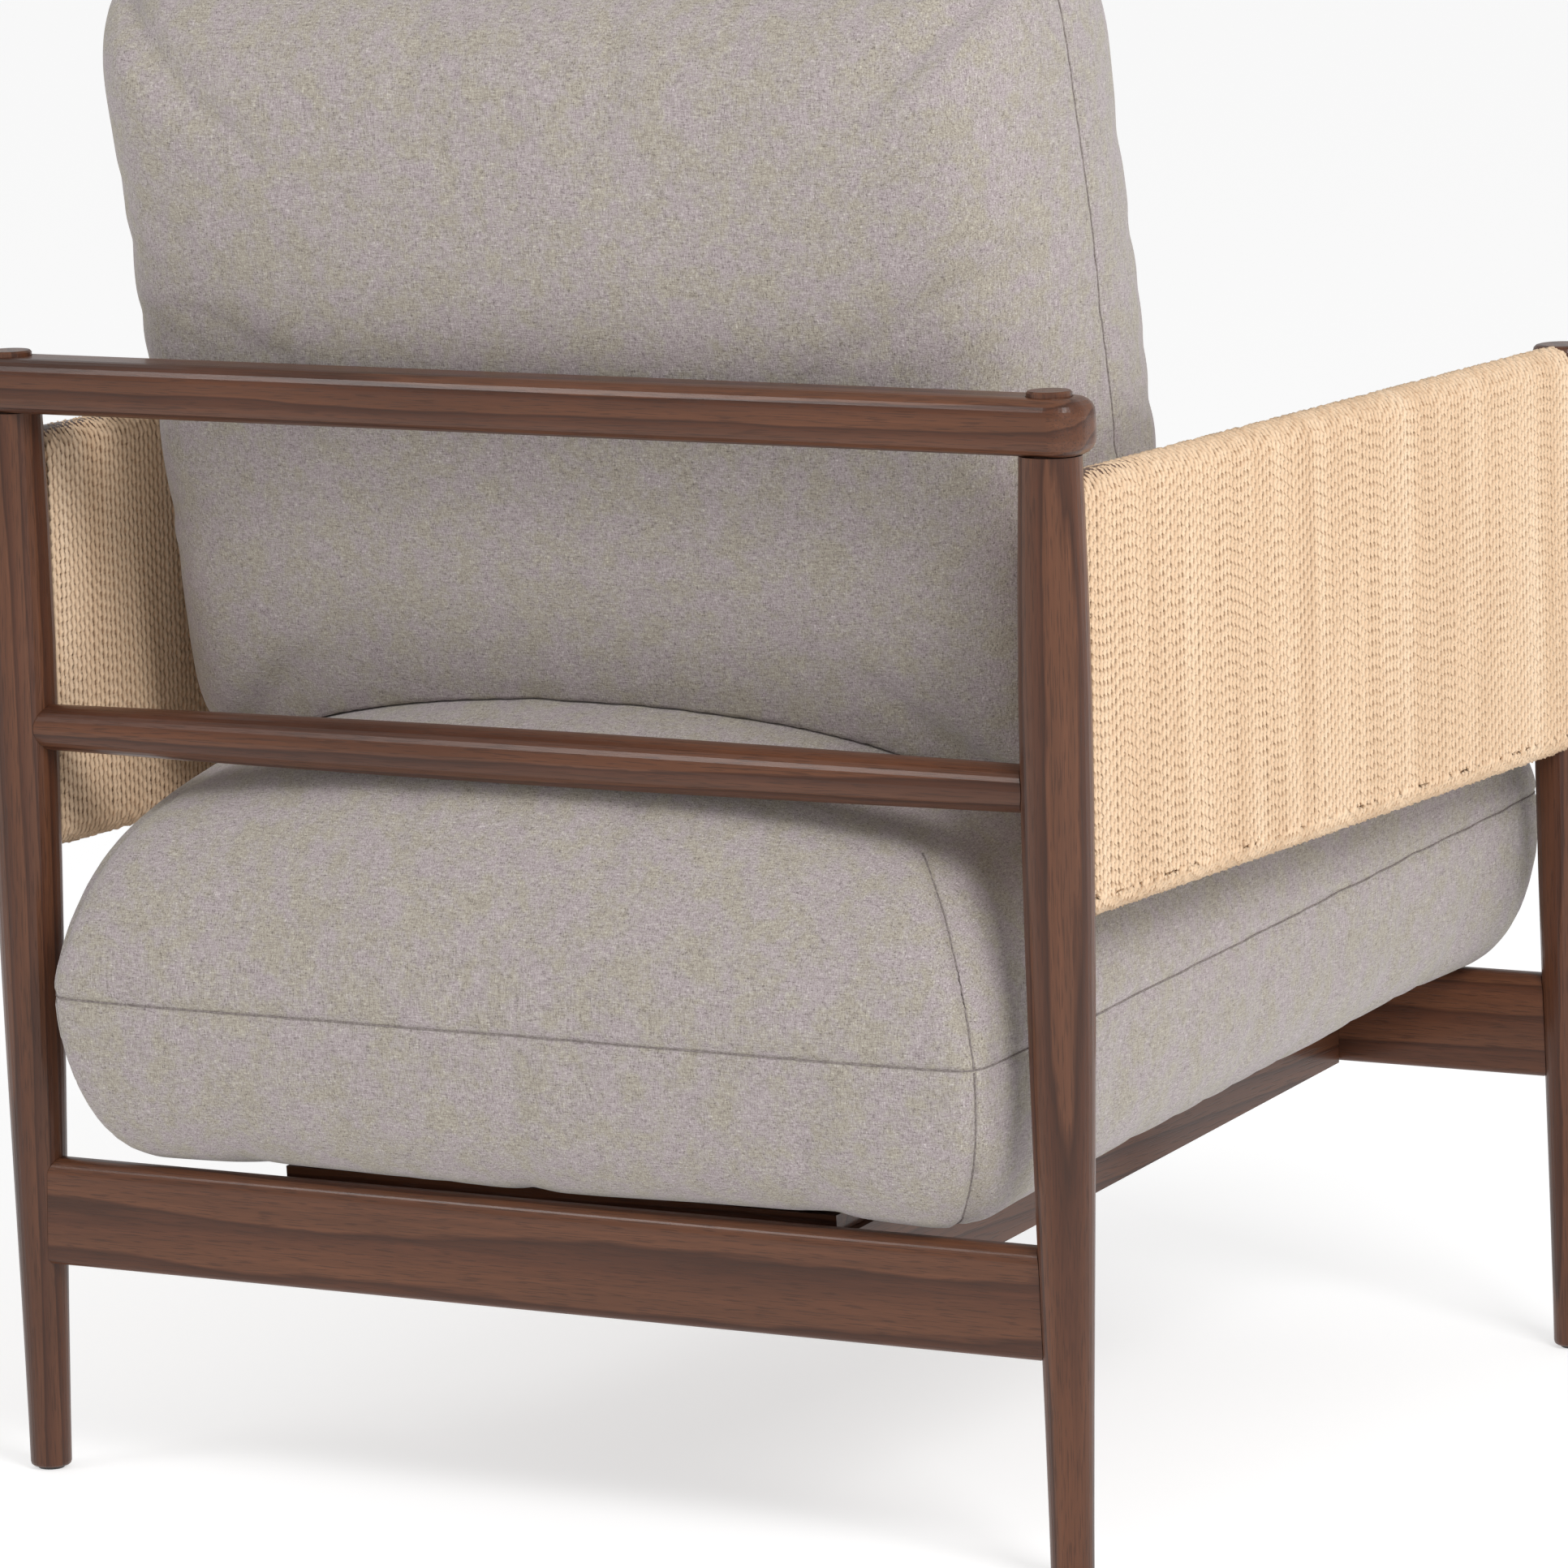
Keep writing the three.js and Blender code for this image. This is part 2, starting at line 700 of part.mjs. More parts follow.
function legSockets() {
  const sockets = [
    rodTenons(clearance),
    seatRailTenons(rearY, rearSeatRailTop, clearance),
    seatRailTenons(frontY, frontSeatRailTop, clearance),
  ];
  for (const side of sides) {
    const x = side.sign * legX;
    for (const height of Object.values(armDowelHeights)) sockets.push(armDowelTenon(height, x, clearance));
    for (const y of [rearY, frontY]) sockets.push(glideHole().translate([x, y, 0]));
  }
  return wasm.Manifold.union(sockets);
}

const sockets = legSockets();
for (const { name, sign } of sides) {
  const x = sign * legX;
  piece(`rear_leg_${name}`, rearLegBlank().translate([x, rearY, 0]).subtract(sockets), walnut);
  piece(`front_leg_${name}`, frontLegBlank().translate([x, frontY, 0]).subtract(sockets), walnut);
  piece(`foot_glide_rear_${name}`, glide().translate([x, rearY, 0]), nylon);
  piece(`foot_glide_front_${name}`, glide().translate([x, frontY, 0]), nylon);
  piece(`side_stretcher_${name}`, stretcher(sign), walnut);
  for (const [level, height] of Object.entries(armDowelHeights)) {
    piece(`arm_${level}_dowel_${name}`, armDowel(height, x), walnut);
  }
  piece(`arm_cord_wrap_${name}`, armWrap(x), paperCord);
}
piece("back_top_rail", backTopRail(), walnut);
piece("back_rod", backRod(), walnut);
piece("rear_seat_rail", seatRail(rearY, rearSeatRailTop), walnut);
piece("front_seat_rail", seatRail(frontY, frontSeatRailTop), walnut);

for (let index = 0; index < slatCount; index += 1) {
  piece(`seat_slat_${index + 1}`, slat(index), walnut, deck);
  for (const { name, sign } of sides) {
    const screw = piece(`slat_screw_${index + 1}_${name}`, screwShape(0), zincedSteel, deck);
    screw.position.set(sign * screwX, slatPlace(index), 0);
  }
}
chair.add(deck);

addCushion("seat_cushion", seatShape, seatZipSlot);
addCushion("back_cushion", backShape, backZipSlot);

// The frame's origin goes to the bottom centre of the whole chair.
const bounds = new THREE.Box3().setFromObject(chair);
const middle = bounds.getCenter(new THREE.Vector3());
chair.position.set(-middle.x, -middle.y, -bounds.min.z);

export default chair;
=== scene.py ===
import math

import bpy
import numpy as np
from mathutils import Matrix, Vector, noise
from mathutils.bvhtree import BVHTree
from mathutils.kdtree import KDTree


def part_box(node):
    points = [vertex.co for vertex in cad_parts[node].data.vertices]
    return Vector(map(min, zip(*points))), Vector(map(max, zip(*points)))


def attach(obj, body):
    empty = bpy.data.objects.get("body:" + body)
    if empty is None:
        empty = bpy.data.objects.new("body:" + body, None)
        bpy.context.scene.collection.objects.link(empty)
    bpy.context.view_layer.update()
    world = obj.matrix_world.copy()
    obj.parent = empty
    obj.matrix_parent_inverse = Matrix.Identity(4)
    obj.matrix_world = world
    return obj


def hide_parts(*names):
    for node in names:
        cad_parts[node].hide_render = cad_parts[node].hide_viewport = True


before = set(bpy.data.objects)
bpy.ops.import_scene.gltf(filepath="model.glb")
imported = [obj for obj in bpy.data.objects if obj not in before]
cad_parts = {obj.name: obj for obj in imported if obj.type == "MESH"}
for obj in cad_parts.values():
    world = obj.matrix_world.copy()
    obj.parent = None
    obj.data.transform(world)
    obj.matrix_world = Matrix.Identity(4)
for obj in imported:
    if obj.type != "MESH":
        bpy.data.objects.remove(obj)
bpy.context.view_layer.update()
scene = bpy.context.scene

# ---------------------------------------------------------------- places, from the frame
rear_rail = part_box("rear_seat_rail")
front_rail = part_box("front_seat_rail")
top_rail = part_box("back_top_rail")
REAR_Y = (rear_rail[0].y + rear_rail[1].y) / 2
FRONT_Y = (front_rail[0].y + front_rail[1].y) / 2
MIDDLE_Y = (REAR_Y + FRONT_Y) / 2
DECK_Z = (rear_rail[1].z + front_rail[1].z) / 2
DECK_SLOPE = math.atan2(front_rail[1].z - rear_rail[1].z, REAR_Y - FRONT_Y)
DECK = Matrix.Translation((0, MIDDLE_Y, DECK_Z)) @ Matrix.Rotation(-DECK_SLOPE, 4, "X")

SEAT_SEAM = 0.098  # above the deck
SEAT_RISE = 0.168  # of the crown above the seam
SEAT_FORWARD = 0.0076  # from the middle of the deck, along the deck
SEAT_LIFT = 0.0008  # clear of the slats
BACK_HEIGHT = 0.472
BACK_THICKNESS = 0.214
BACK_LEAN = math.radians(11.5)  # from upright
BACK_SINK = 0.081  # of its lower seam below the seat's crown
BACK_GAP = 0.001  # between the back cushion and the rail it leans on
RAIL_ROUNDING = 0.009
# Each form: size and reach of the rounded border in plan, roundness above and below the seam, squareness of
# the corners, power of the crown across and along, and shoulder and crown above and below the seam.
SEAT_FORM = {
    "size": (0.580, 0.690), "reach": (0.060, 0.060), "roundness": (2.3, 3.2), "corner": 45,
    "crown": (2.4, 4.5), "up": (0.084, SEAT_RISE), "down": (SEAT_SEAM - SEAT_LIFT, SEAT_SEAM - SEAT_LIFT),
}
BACK_FORM = {
    "size": (0.570, BACK_HEIGHT), "reach": (0.055, 0.085), "roundness": (2.6, 2.6), "corner": 16,
    "crown": (2, 2), "up": (0.086, BACK_THICKNESS / 2), "down": (0.086, BACK_THICKNESS / 2),
}

SEAT = DECK @ Matrix.Translation((0, -SEAT_FORWARD, SEAT_SEAM))
lean_z = top_rail[1].z - RAIL_ROUNDING
lean_y = top_rail[0].y - BACK_GAP
base_z = DECK_Z + SEAT_SEAM + SEAT_RISE - BACK_SINK
base_y = lean_y - BACK_THICKNESS / 2 / math.cos(BACK_LEAN) - (lean_z - base_z) * math.tan(BACK_LEAN)
BACK = (
    Matrix.Translation((0, base_y, base_z))
    @ Matrix.Rotation(-BACK_LEAN, 4, "X")
    @ Matrix.Translation((0, 0, BACK_HEIGHT / 2))
    @ Matrix.Rotation(math.pi / 2, 4, "X")
)


# ---------------------------------------------------------------- node helpers
class Tree:
    """A material under construction: its principled shader and the nodes that feed it."""

    def __init__(self, name):
        self.material = bpy.data.materials.new(name)
        self.material.use_nodes = True
        self.nodes = self.material.node_tree.nodes
        self.links = self.material.node_tree.links
        self.nodes.clear()
        self.shader = self.nodes.new("ShaderNodeBsdfPrincipled")
        output = self.nodes.new("ShaderNodeOutputMaterial")
        self.links.new(self.shader.outputs[0], output.inputs["Surface"])
        self.coordinates = self.nodes.new("ShaderNodeTexCoord").outputs["Object"]

    def put(self, socket, value):
        if isinstance(value, bpy.types.NodeSocket):
            self.links.new(value, socket)
        elif value is not None:
            socket.default_value = value

    def mapping(self, scale=(1, 1, 1), location=(0, 0, 0)):
        node = self.nodes.new("ShaderNodeMapping")
        self.put(node.inputs["Vector"], self.coordinates)
        node.inputs["Scale"].default_value = scale
        node.inputs["Location"].default_value = location
        return node.outputs[0]

    def noise(self, vector, scale=1.0, detail=2.0, roughness=0.5):
        node = self.nodes.new("ShaderNodeTexNoise")
        self.put(node.inputs["Vector"], vector)
        node.inputs["Scale"].default_value = scale
        node.inputs["Detail"].default_value = detail
        node.inputs["Roughness"].default_value = roughness
        return node.outputs["Fac"]

    def rings(self, vector, axis, scale, distortion, detail, detail_scale):
        node = self.nodes.new("ShaderNodeTexWave")
        node.wave_type = "RINGS"
        node.rings_direction = axis
        node.wave_profile = "SAW"
        self.put(node.inputs["Vector"], vector)
        node.inputs["Scale"].default_value = scale
        node.inputs["Distortion"].default_value = distortion
        node.inputs["Detail"].default_value = detail
        node.inputs["Detail Scale"].default_value = detail_scale
        return node.outputs["Fac"]

    def ramp(self, value, stops):
        """stops are places from 0 to 1, each with a grey or a colour."""
        node = self.nodes.new("ShaderNodeValToRGB")
        self.put(node.inputs[0], value)
        elements = node.color_ramp.elements
        while len(elements) < len(stops):
            elements.new(0.5)
        for element, (place, colour) in zip(elements, stops):
            element.position = place
            if not isinstance(colour, tuple):
                colour = (colour, colour, colour)
            element.color = (*colour, 1)
        return node.outputs["Color"]

    def math(self, operation, a, b=None, c=None):
        node = self.nodes.new("ShaderNodeMath")
        node.operation = operation
        for socket, value in zip(node.inputs, (a, b, c)):
            self.put(socket, value)
        return node.outputs[0]

    def mix(self, factor, a, b, blend="MIX"):
        node = self.nodes.new("ShaderNodeMix")
        node.data_type = "RGBA"
        node.blend_type = blend
        self.put(node.inputs["Factor"], factor)
        # A mix node has a pair of inputs and an output for each kind of value. These are the colours.
        for socket, value in ((node.inputs[6], a), (node.inputs[7], b)):
            if isinstance(value, tuple):
                value = (*value, 1)
            self.put(socket, value)
        return node.outputs[2]

    def bump(self, height, distance, strength):
        node = self.nodes.new("ShaderNodeBump")
        node.inputs["Strength"].default_value = strength
        node.inputs["Distance"].default_value = distance
        self.put(node.inputs["Height"], height)
        return node.outputs[0]

    def set(self, **values):
        """Sets the shader's sockets by name, with _ for a space, and gives back the material."""
        for name, value in values.items():
            if isinstance(value, tuple):
                value = (*value, 1)
            self.put(self.shader.inputs[name.replace("_", " ")], value)
        return self.material


# ---------------------------------------------------------------- materials
AXES = {"X": 0, "Y": 1, "Z": 2}
WARP = (0.028, 0.022, 0.026)  # how far the rings of the timber wander
LINEN_SHADE = 0.93


def along(axis, across_value, along_value):
    scale = [across_value] * 3
    scale[AXES[axis]] = along_value
    return tuple(scale)


def walnut(name, axis, offset, pith):
    """Stained walnut with its grain along one axis. offset and pith pick the timber that it is cut from."""
    tree = Tree(name)
    shift = [0.0, 0.0, 0.0]
    across = [i for i in range(3) if i != AXES[axis]]
    for index, distance in zip(across, pith):
        shift[index] = distance
    shift[AXES[axis]] = offset
    shift = tuple(shift)
    timber = tree.mapping(scale=along(axis, 1.0, 0.09), location=shift)
    warp = tree.noise(timber, scale=9.0, detail=2.0)
    moved = tree.nodes.new("ShaderNodeVectorMath")
    moved.operation = "MULTIPLY_ADD"
    tree.put(moved.inputs[0], warp)
    moved.inputs[1].default_value = WARP
    tree.put(moved.inputs[2], timber)
    rings = tree.rings(moved.outputs[0], axis, scale=30.0, distortion=2.6, detail=3.0, detail_scale=2.0)
    figure = tree.ramp(rings, [
        (0.0, (0.142, 0.057, 0.029)),
        (0.45, (0.126, 0.049, 0.025)),
        (0.78, (0.097, 0.036, 0.019)),
        (0.93, (0.062, 0.023, 0.012)),
        (1.0, (0.126, 0.049, 0.025)),
    ])
    streaks = tree.noise(tree.mapping(scale=along(axis, 320, 9), location=shift), detail=3.0, roughness=0.6)
    streak_tone = tree.ramp(streaks, [(0.30, 0.45), (0.55, 0.72), (0.75, 1.0)])
    streaked = tree.mix(0.55, figure, streak_tone, "MULTIPLY")
    clouds = tree.noise(tree.mapping(scale=along(axis, 18, 3.5), location=shift), detail=1.0)
    cloud_tone = tree.ramp(clouds, [(0.3, (0.86, 0.84, 0.84)), (0.7, (1.16, 1.12, 1.06))])
    toned = tree.mix(1.0, streaked, cloud_tone, "MULTIPLY")
    pores = tree.noise(tree.mapping(scale=along(axis, 1500, 55), location=shift), detail=1.0)
    pore_mask = tree.ramp(pores, [(0.36, 0.0), (0.44, 1.0)])
    in_pores = tree.math("MULTIPLY", tree.math("SUBTRACT", 1.0, pore_mask), 0.5)
    colour = tree.mix(in_pores, toned, (0.040, 0.016, 0.009))
    roughness = tree.math("MULTIPLY_ADD", streaks, 0.16, 0.30)
    return tree.set(
        Base_Color=colour,
        Roughness=roughness,
        Specular_IOR_Level=0.2,
        Coat_Weight=0.3,
        Coat_Roughness=0.16,
        Normal=tree.bump(pore_mask, 0.00012, 0.6),
    )


def linen():
    """Heathered cloth: long light and dark fibres run along each axis."""
    tree = Tree("linen")
    families = []
    for index, axis in enumerate("XYZ"):
        place = tree.mapping(scale=along(axis, 1500, 240), location=(index * 3.1, index * 1.7, index * 2.3))
        families.append(tree.noise(place, detail=2.0, roughness=0.65))
    fibres = tree.math("ADD", tree.math("ADD", families[0], families[1]), families[2])
    fibres = tree.math("MULTIPLY", fibres, 1 / 3)
    fibre_colours = [
        (0.36, (0.15, 0.125, 0.118)),
        (0.44, (0.315, 0.275, 0.255)),
        (0.50, (0.395, 0.352, 0.328)),
        (0.57, (0.475, 0.428, 0.395)),
        (0.66, (0.70, 0.66, 0.61)),
    ]
    tone = tree.ramp(fibres, [
        (place, tuple(channel * LINEN_SHADE for channel in colour)) for place, colour in fibre_colours
    ])
    patches = tree.noise(tree.mapping(scale=(60, 60, 60)), detail=4.0, roughness=0.7)
    tint = tree.ramp(patches, [
        (0.40, (0.98, 0.985, 0.89)),
        (0.5, (1.0, 1.0, 1.0)),
        (0.60, (1.02, 0.985, 1.07)),
    ])
    colour = tree.mix(1.0, tone, tint, "MULTIPLY")
    return tree.set(
        Base_Color=colour,
        Roughness=0.92,
        Sheen_Weight=0.25,
        Sheen_Roughness=0.5,
        Specular_IOR_Level=0.25,
        Normal=tree.bump(fibres, 0.0006, 0.9),
    )


def seam_stitches_painted_shade():
    """The cloth drawn together at a seam, painted a little darker than the cover as the shade in the seam's
    groove.
    """
    tree = Tree("seam_shadow")
    dashes = tree.noise(tree.mapping(scale=(700, 700, 700)), detail=1.0)
    # Painted shade: the seam is coloured darker than the linen to stand for the shade in its groove. The
    # dashes are its stitches.
    colour = tree.ramp(dashes, [(0.35, (0.17, 0.145, 0.137)), (0.65, (0.29, 0.255, 0.24))])
    return tree.set(Base_Color=colour, Roughness=0.95, Specular_IOR_Level=0.1)


def paper_cord():
    tree = Tree("paper_cord")
    broad = tree.noise(tree.mapping(scale=(8, 45, 3)), detail=3.0)
    fine = tree.noise(tree.mapping(scale=(900, 900, 260)), detail=2.0)
    tone = tree.ramp(broad, [(0.3, (0.79, 0.57, 0.38)), (0.5, (0.86, 0.64, 0.44)), (0.7, (0.91, 0.70, 0.50))])
    fibre_tone = tree.ramp(fine, [(0.35, (0.72, 0.66, 0.58)), (0.6, (1.0, 1.0, 1.0))])
    colour = tree.mix(0.35, tone, fibre_tone, "MULTIPLY")
    return tree.set(
        Base_Color=colour,
        Roughness=tree.math("MULTIPLY_ADD", fine, 0.2, 0.62),
        Specular_IOR_Level=0.3,
        Normal=tree.bump(fine, 0.00012, 0.6),
    )


def steel():
    tree = Tree("zinced_steel")
    haze = tree.noise(tree.mapping(scale=(400, 400, 400)), detail=3.0)
    colour = tree.ramp(haze, [(0.3, (0.52, 0.52, 0.50)), (0.7, (0.68, 0.69, 0.70))])
    return tree.set(Base_Color=colour, Metallic=1.0, Roughness=tree.math("MULTIPLY_ADD", haze, 0.3, 0.2))


def nylon():
    tree = Tree("glide_nylon")
    grain = tree.noise(tree.mapping(scale=(1200, 1200, 1200)), detail=2.0)
    colour = tree.ramp(grain, [(0.3, (0.020, 0.018, 0.017)), (0.7, (0.036, 0.033, 0.031))])
    return tree.set(Base_Color=colour, Roughness=0.55, Normal=tree.bump(grain, 0.0001, 0.4))


def foam():
    tree = Tree("cushion_foam")
    cells = tree.noise(tree.mapping(scale=(900, 900, 900)), detail=3.0)
    colour = tree.ramp(cells, [(0.3, (0.62, 0.56, 0.42)), (0.7, (0.84, 0.78, 0.63))])
    return tree.set(Base_Color=colour, Roughness=0.95, Normal=tree.bump(cells, 0.0006, 0.8))


# Each wooden part's grain axis, place along its timber, and distance from the pith
WOOD = {
    "rear_leg_right": ("Z", 0.31, (0.020, 0.034)),
    "rear_leg_left": ("Z", 1.37, (-0.028, 0.040)),
    "front_leg_right": ("Z", 2.11, (0.034, -0.026)),
    "front_leg_left": ("Z", 3.53, (-0.030, -0.032)),
    "back_top_rail": ("X", 4.19, (0.060, 0.012)),
    "back_rod": ("X", 5.23, (0.018, 0.016)),
    "rear_seat_rail": ("X", 6.47, (0.050, 0.004)),
    "front_seat_rail": ("X", 7.71, (-0.050, 0.008)),
    "side_stretcher_right": ("Y", 8.05, (0.050, 0.006)),
    "side_stretcher_left": ("Y", 9.13, (-0.050, 0.010)),
    "arm_top_dowel_right": ("Y", 10.3, (0.02, 0.02)),
    "arm_top_dowel_left": ("Y", 11.1, (0.02, -0.02)),
    "arm_bottom_dowel_right": ("Y", 12.7, (-0.02, 0.02)),
    "arm_bottom_dowel_left": ("Y", 13.9, (-0.02, -0.02)),
}

LINEN = linen()
CORD = paper_cord()
# The seams' material, with painted shade of their grooves
SEAM_SHADE = seam_stitches_painted_shade()
STEEL = steel()
NYLON = nylon()
FOAM = foam()
SLAT = walnut("walnut_slats", "X", 2.9, (0.030, 0.020))


SHARP_ANGLE = math.radians(35)  # facets that meet at more than this keep their edge


def paint(name, material):
    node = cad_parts[name]
    node.data.materials.clear()
    node.data.materials.append(material)
    node.data.shade_smooth()
    node.data.set_sharp_from_angle(angle=SHARP_ANGLE)


for node_name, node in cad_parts.items():
    if node_name in WOOD:
        paint(node_name, walnut("walnut_" + node_name, *WOOD[node_name]))
    elif node_name.startswith("seat_slat"):
        paint(node_name, SLAT)
    elif node_name.startswith("slat_screw"):
        paint(node_name, STEEL)
    elif node_name.startswith("foot_glide"):
        paint(node_name, NYLON)
    elif node_name.endswith("_core"):
        paint(node_name, FOAM)
    else:
        paint(node_name, LINEN)


# ---------------------------------------------------------------- mesh helpers
def mesh_object(name, vertices, faces, material):
    mesh = bpy.data.meshes.new(name)
    mesh.from_pydata([tuple(v) for v in vertices], [], faces)
    mesh.materials.append(material)
    mesh.shade_smooth()
    mesh.update()
    piece = bpy.data.objects.new(name, mesh)
    scene.collection.objects.link(piece)
    return piece


def grid_object(name, rows, ring, coordinates, material, caps=True):
    """Closed tubes from a table of rings: coordinates holds rows times ring points for each tube."""
    count = len(coordinates) // (rows * ring)
    row = np.arange(rows - 1)[:, None] * ring
    here = np.arange(ring)[None, :]
    after = (here + 1) % ring
    quads = np.stack([row + here, row + after, row + ring + after, row + ring + here], axis=-1).reshape(-1, 4)
    quads = (quads[None] + (np.arange(count) * rows * ring)[:, None, None]).reshape(-1, 4)
    mesh = bpy.data.meshes.new(name)
    total = len(quads)
    mesh.vertices.add(len(coordinates))
    mesh.vertices.foreach_set("co", np.asarray(coordinates, dtype=np.float32).ravel())
    ends = []
    if caps:
        for tube in range(count):
            first = tube * rows * ring
            last = first + (rows - 1) * ring
            ends.append([first + i for i in range(ring)][::-1])
            ends.append([last + i for i in range(ring)])
    loops = total * 4 + sum(len(end) for end in ends)
    mesh.loops.add(loops)
    corners = np.concatenate([quads.ravel()] + [np.array(end) for end in ends]) if ends else quads.ravel()
    mesh.loops.foreach_set("vertex_index", corners.astype(np.int32))
    sizes = np.concatenate([np.full(total, 4), np.array([len(end) for end in ends], dtype=int)])
    starts = np.concatenate([[0], np.cumsum(sizes)[:-1]])
    mesh.polygons.add(len(sizes))
    mesh.polygons.foreach_set("loop_start", starts.astype(np.int32))
    mesh.materials.append(material)
    mesh.update(calc_edges=True)
    mesh.validate()
    mesh.shade_smooth()
    piece = bpy.data.objects.new(name, mesh)
    scene.collection.objects.link(piece)
    return piece


def tube_points(path, radius, ring, closed=False):
    """Rings round a path of points, for a thin round tube."""
    path = np.asarray(path, dtype=float)
    ahead = np.roll(path, -1, axis=0)
    behind = np.roll(path, 1, axis=0)
    if not closed:
        ahead[-1], behind[0] = path[-1], path[0]
    tangent = ahead - behind
    tangent /= np.linalg.norm(tangent, axis=1, keepdims=True)
    up = np.zeros_like(tangent)
    up[:, 2] = 1.0
    up[np.abs(tangent[:, 2]) > 0.9] = (1.0, 0.0, 0.0)
    side = np.cross(tangent, up)
    side /= np.linalg.norm(side, axis=1, keepdims=True)
    top = np.cross(side, tangent)
    angles = np.linspace(0, 2 * math.pi, ring, endpoint=False)
    rings = path[:, None] + radius * (
        np.cos(angles)[None, :, None] * side[:, None] + np.sin(angles)[None, :, None] * top[:, None]
    )
    if closed:
        rings = np.concatenate([rings, rings[:1]])
    return rings.reshape(-1, 3), len(rings)


# ---------------------------------------------------------------- cushions
BORDER_STEPS = 16  # round a cushion's border, from the seam to the shoulder
CROWN_STEPS = 36  # from the shoulder to the middle
SEAM_STEPS = 260  # along each side
CORNER_SEAM_STEPS = 60

VOXEL = 0.006
PRESSURE = 4.0
FRAMES = 20
SPREAD_ROUNDS = 110  # which smooth a field over about 30 mm
CREASE_CAP = 0.025  # the furthest that a point may be drawn in or out
SEAT_CREASES = 0.35  # the share that is kept of the creases of the simulation
BACK_CREASES = 0.4
SEAT_CORNER_SEAM = 0.055  # how far the seat cushion's corner seams run in from the border

SWELL = 0.0016  # of the wadding under the cloth
SWELL_SCALE = 9.0
SEAT_SWELL_SEED = 3.0
BACK_SWELL_SEED = 7.0

SEAM_RADIUS = 0.0005
SEAM_SEGMENTS = 6
SEAM_LIFT = 0.0001  # above the cloth
SEAM_SMOOTHING = 6  # rounds
GROOVE_WIDTH = 0.0045
GROOVE_DEPTH = 0.0016

PRESSED_HEIGHT = 0.06  # of the part of the back cushion that the seat cushion may press
PRESSED_GAP = 0.0012
OVERHEAD = 1.0  # a height above everything


def local(points, matrix):
    inverse = np.asarray(matrix.inverted())
    return points @ inverse[:3, :3].T + inverse[:3, 3]


def placed(points, matrix):
    world = np.asarray(matrix)
    return points @ world[:3, :3].T + world[:3, 3]


def edge_fullness(distance, reach, roundness):
    share = 1 - np.minimum(distance / reach, 1)
    return np.maximum(0, 1 - share**roundness) ** (1 / roundness)


def graded(half, reach, roundness, border_steps, crown_steps):
    """Places across a cushion, close together round its border."""
    turn = np.linspace(0, math.pi / 2, border_steps, endpoint=False)
    border = half - reach * (1 - np.cos(turn) ** (2 / roundness))
    middle = (half - reach) * (1 - np.arange(crown_steps) / crown_steps)
    outer = np.concatenate([border, middle])
    return np.concatenate([-outer, [0.0], outer[::-1]])


def form_point(x, y, side, form):
    half_x, half_y = form["size"][0] / 2, form["size"][1] / 2
    u, v = np.abs(x) / half_x, np.abs(y) / half_y
    roundness = form["roundness"][0 if side > 0 else 1]
    edge = edge_fullness(half_x - np.abs(x), form["reach"][0], roundness)
    edge = edge * edge_fullness(half_y - np.abs(y), form["reach"][1], roundness)
    shoulder, top = form["up"] if side > 0 else form["down"]
    middle = (1 - u ** form["crown"][0]) * (1 - v ** form["crown"][1])
    z = side * (shoulder * edge + (top - shoulder) * middle)
    power = form["corner"]
    pull = np.maximum(u, v) / np.maximum((u**power + v**power) ** (1 / power), 1e-9)
    pull = np.where(u + v > 0, pull, 1)
    return np.stack([x * pull, y * pull, z], axis=-1)


def cushion_mesh(name, form, matrix):
    steps = (form["roundness"][0], BORDER_STEPS, CROWN_STEPS)
    across_x = graded(form["size"][0] / 2, form["reach"][0], *steps)
    across_y = graded(form["size"][1] / 2, form["reach"][1], *steps)
    cells = len(across_x) - 1
    x, y = np.meshgrid(across_x, across_y, indexing="ij")
    inside = np.zeros(x.shape, dtype=bool)
    inside[1:-1, 1:-1] = True
    upper = form_point(x, y, 1, form).reshape(-1, 3)
    lower = form_point(x, y, -1, form)[inside]
    index = np.arange(upper.shape[0]).reshape(x.shape)
    under = index.copy()
    under[inside] = len(upper) + np.arange(len(lower))
    faces = []
    for i in range(cells):
        for j in range(cells):
            faces.append([index[i, j], index[i + 1, j], index[i + 1, j + 1], index[i, j + 1]])
            faces.append([under[i, j], under[i, j + 1], under[i + 1, j + 1], under[i + 1, j]])
    points = placed(np.concatenate([upper, lower]), matrix)
    return mesh_object(name, points, [[int(k) for k in face] for face in faces], LINEN)


def seam_paths(form, matrix, reach):
    """The seam round the border, and the corner seams that run in from it over both faces by some reach."""
    half_x, half_y = form["size"][0] / 2, form["size"][1] / 2
    steps = np.linspace(-1, 1, SEAM_STEPS)
    one = np.ones_like(steps)
    border = np.concatenate([
        np.stack([steps, -one], 1)[:-1], np.stack([one, steps], 1)[:-1],
        np.stack([-steps, one], 1)[:-1], np.stack([-one, -steps], 1)[:-1],
    ])
    paths = [(form_point(border[:, 0] * half_x, border[:, 1] * half_y, 1, form), True)]
    inward = reach * np.linspace(0.02, 1, CORNER_SEAM_STEPS) ** 2
    for side in (1, -1) if reach else ():
        for a in (-1, 1):
            for b in (-1, 1):
                paths.append((form_point(a * (half_x - inward), b * (half_y - inward), side, form), False))
    return [(placed(points, matrix), closed) for points, closed in paths]


def remesh(piece):
    modifier = piece.modifiers.new("remesh", "REMESH")
    modifier.mode = "VOXEL"
    modifier.voxel_size = VOXEL
    modifier.adaptivity = 0
    bake(piece)


def bake(piece):
    """Applies every modifier of a piece to its mesh."""
    graph = bpy.context.evaluated_depsgraph_get()
    mesh = bpy.data.meshes.new_from_object(piece.evaluated_get(graph))
    old = piece.data
    piece.modifiers.clear()
    piece.data = mesh
    mesh.name = piece.name
    bpy.data.meshes.remove(old)
    mesh.shade_smooth()


